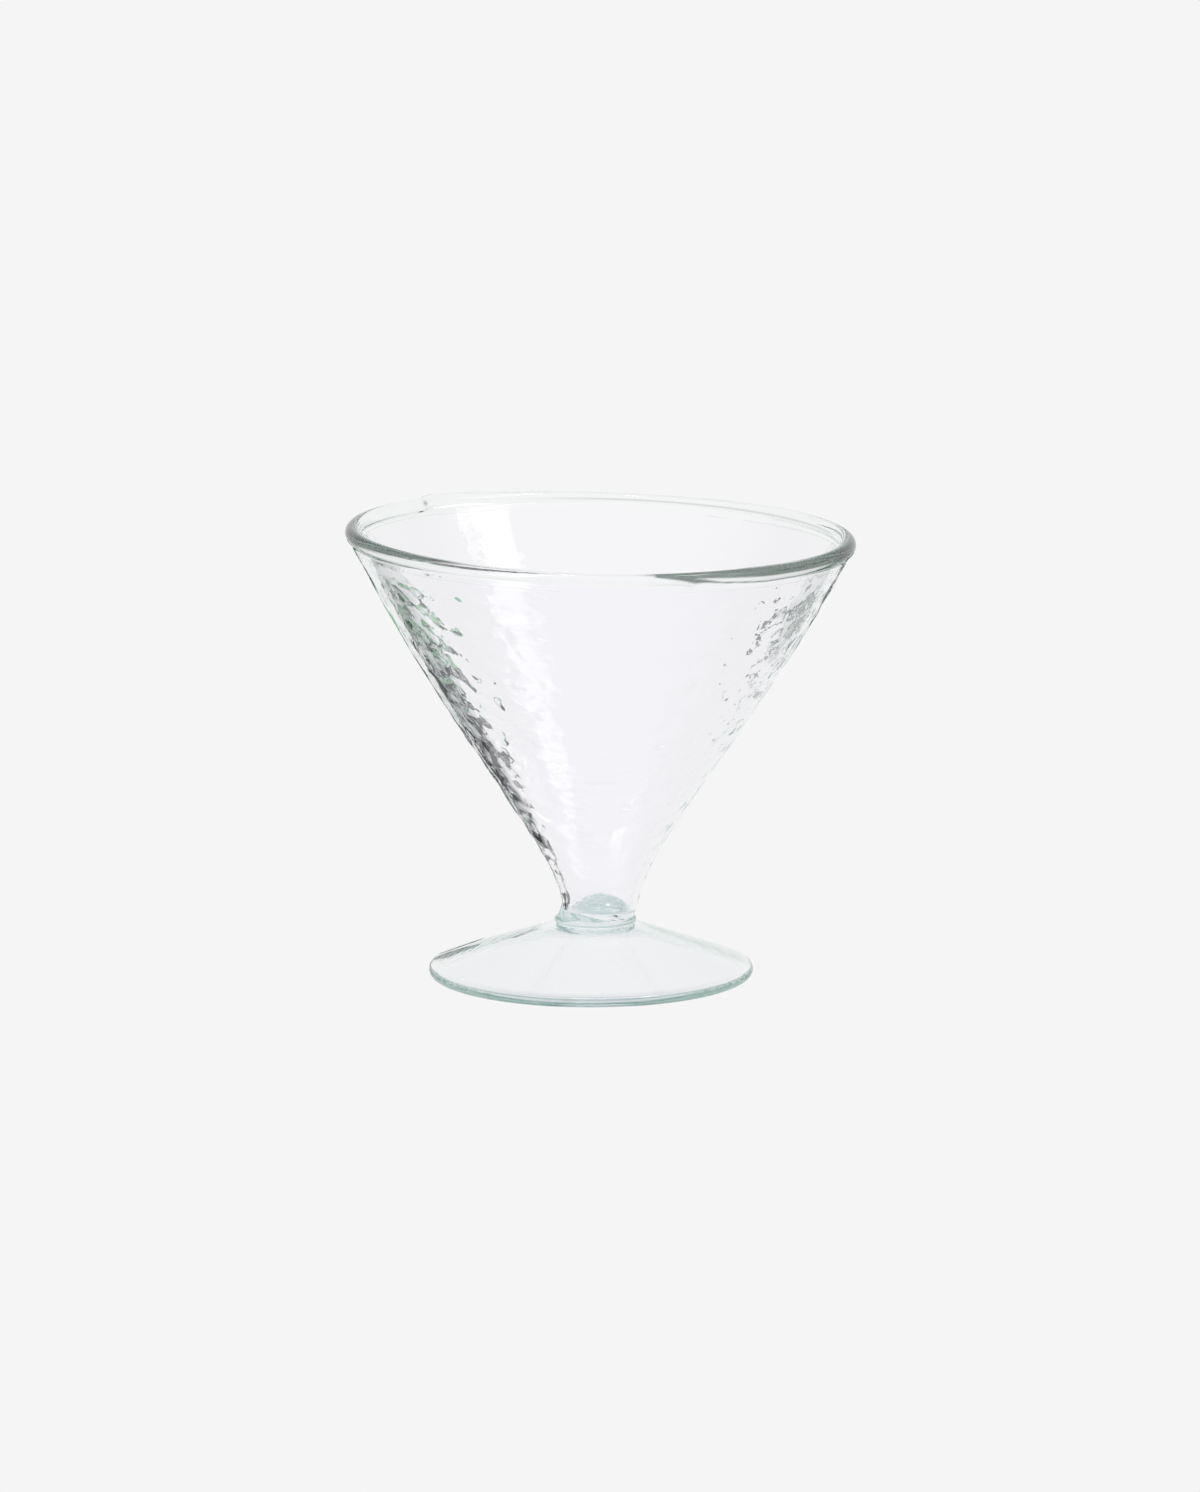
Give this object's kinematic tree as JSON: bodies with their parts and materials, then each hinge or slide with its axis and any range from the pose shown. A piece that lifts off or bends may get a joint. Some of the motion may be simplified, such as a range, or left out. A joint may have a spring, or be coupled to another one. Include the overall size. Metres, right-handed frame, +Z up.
{
  "type": "cocktail glass",
  "caption": "Clear hand-blown cocktail glass with a hammered conical bowl, a wound lip bead, a button collar and a hollow conical foot with a rolled edge.",
  "frame": {"origin": "on the glass's axis, on the plane that the foot stands on", "axes": "+Z up along the axis, through the foot, collar and bowl; -Y towards the viewer of the picture"},
  "size_m": [0.102, 0.102, 0.09],
  "materials": {
    "bowl_glass": "hammered, fire polished, clear",
    "bead_glass": "fire polished, clear with a faint green tint",
    "collar_glass": "fire polished, clear with a faint green tint",
    "foot_glass": "fire polished, clear"
  },
  "bodies": {
    "root": {"bowl": "bowl_glass", "rim_bead": "bead_glass", "collar": "collar_glass", "foot": "foot_glass"}
  },
  "joints": []
}
